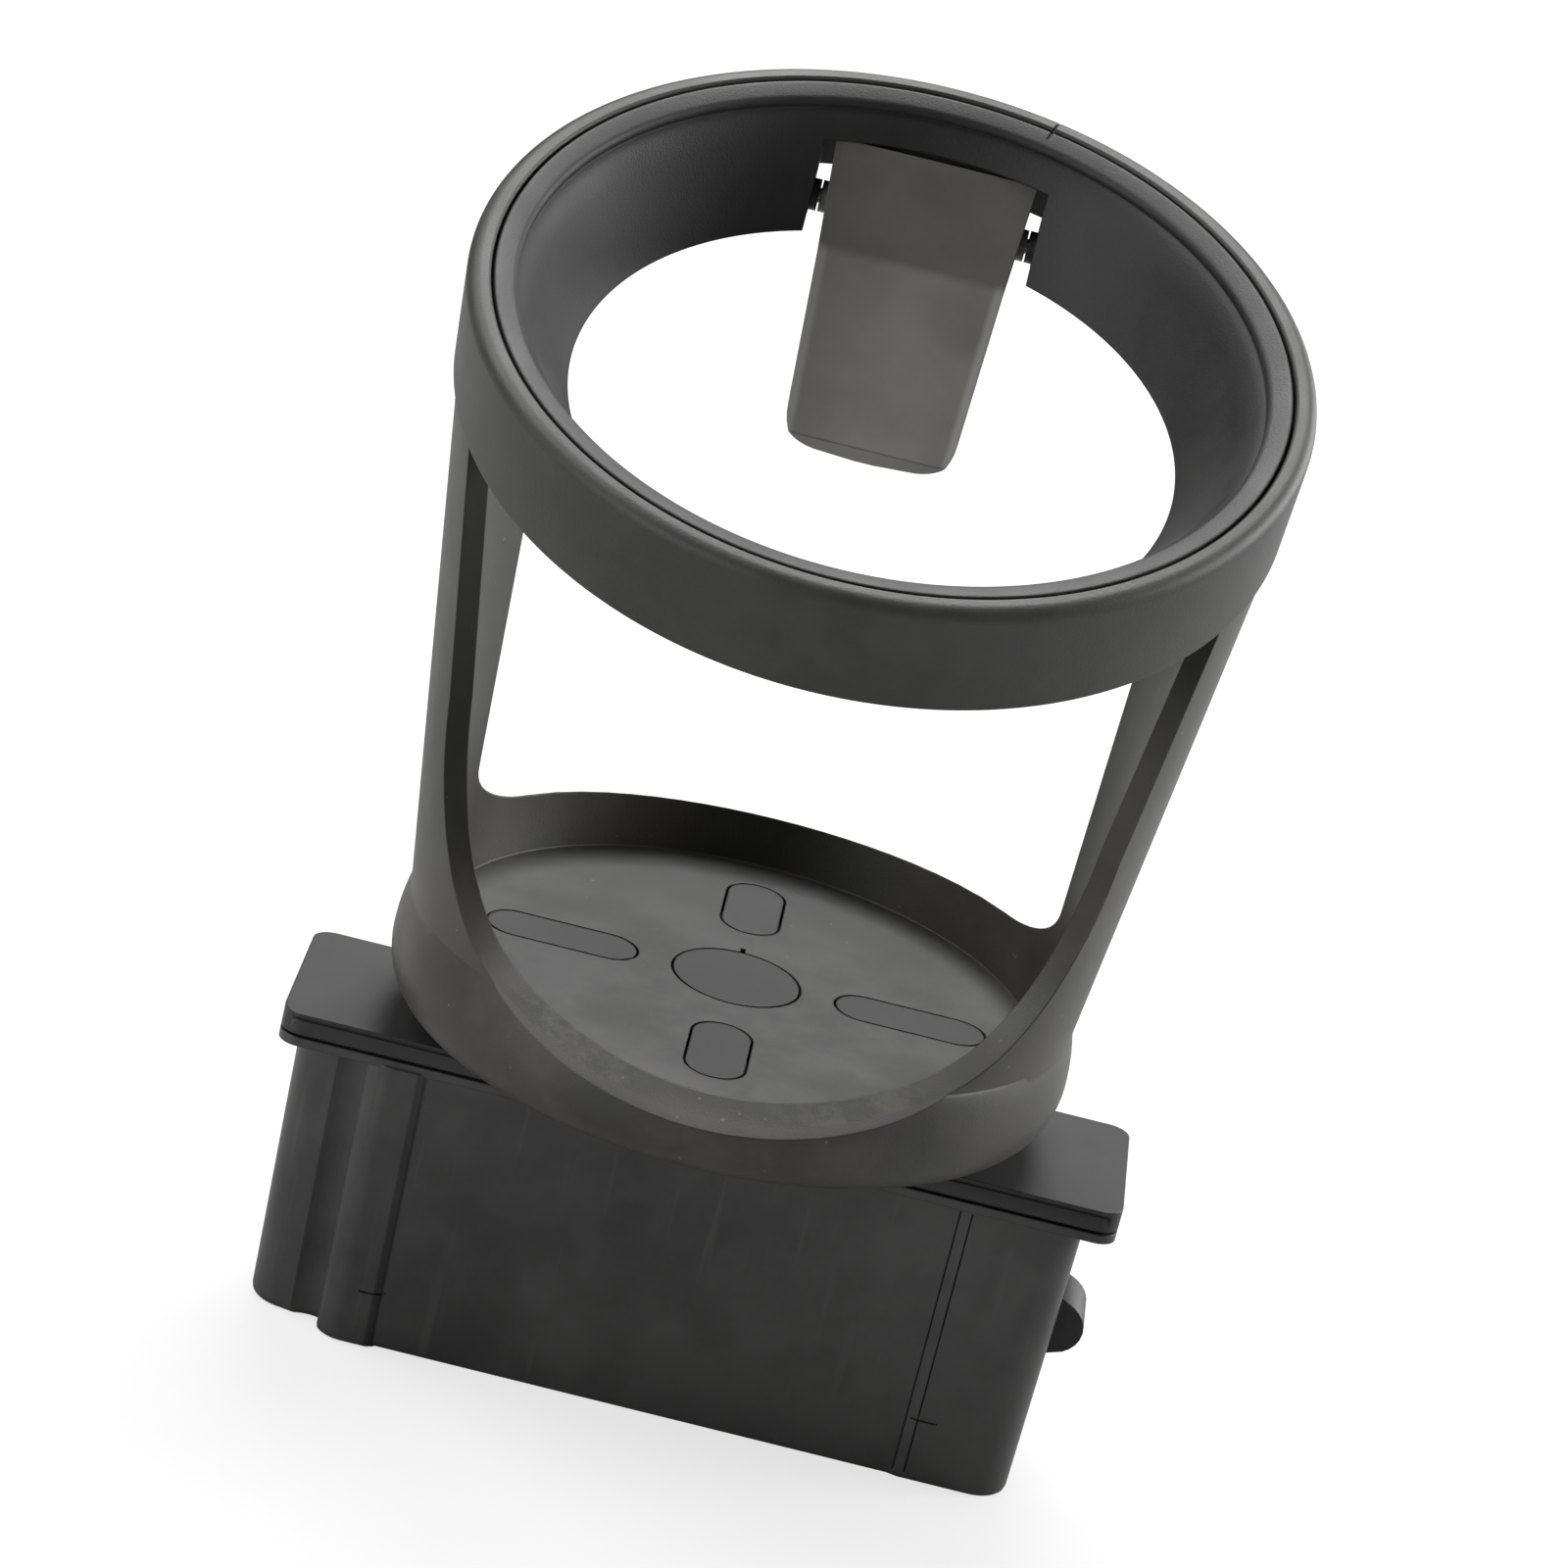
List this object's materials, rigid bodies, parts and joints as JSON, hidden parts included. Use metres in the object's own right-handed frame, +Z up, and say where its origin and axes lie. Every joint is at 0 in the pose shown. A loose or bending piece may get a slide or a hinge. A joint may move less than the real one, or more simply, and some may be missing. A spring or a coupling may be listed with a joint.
{
  "type": "car cup holder",
  "caption": "Open basket cup holder on a flanged console plug, with a tilted ring, a sprung can flap and a side latch.",
  "frame": {"origin": "centre of the plug's flat underside, on the cup's vertical axis", "axes": "+Z up along the cup's axis, +X along the plug towards the latch, +Y towards the back, where the flap is"},
  "size_m": [0.1, 0.0944, 0.1502],
  "materials": {
    "basket": "satin moulded black plastic, lightly hazed",
    "outer_ring": "fine-grained black plastic",
    "inner_liner": "fine-grained black plastic",
    "flap": "satin black plastic",
    "flap_pin": "bright steel pin",
    "flap_spring": "spring wire",
    "adapter_cap": "satin black plastic",
    "hub_screws": "zinc-plated steel",
    "plug_body": "smooth black plastic",
    "body_screws": "zinc-plated steel",
    "latch": "smooth black plastic",
    "latch_spring": "spring wire"
  },
  "bodies": {
    "holder": {"basket": "basket", "outer_ring": "outer_ring", "inner_liner": "inner_liner", "flap_pin": "flap_pin", "flap_spring": "flap_spring", "adapter_cap": "adapter_cap", "hub_screws": "hub_screws", "plug_body": "plug_body", "body_screws": "body_screws", "latch_spring": "latch_spring"},
    "flap_body": {"flap": "flap"},
    "latch_body": {"latch": "latch"}
  },
  "joints": [
    {"name": "flap_hinge", "type": "hinge", "parent": "holder", "child": "flap_body", "pos_m": [0, 0.0399, 0.135], "axis": [1, 0, 0], "range_deg": [0, 30], "stiffness_Nm_per_rad": 0.02, "springref_deg": -17.19, "deforming": ["flap_spring"]},
    {"name": "latch_slide", "type": "slide", "parent": "holder", "child": "latch_body", "axis": [-1, 0, 0], "range_m": [0, 0.0025], "stiffness_N_per_m": 400, "springref_m": -0.002, "deforming": ["latch_spring"]}
  ]
}
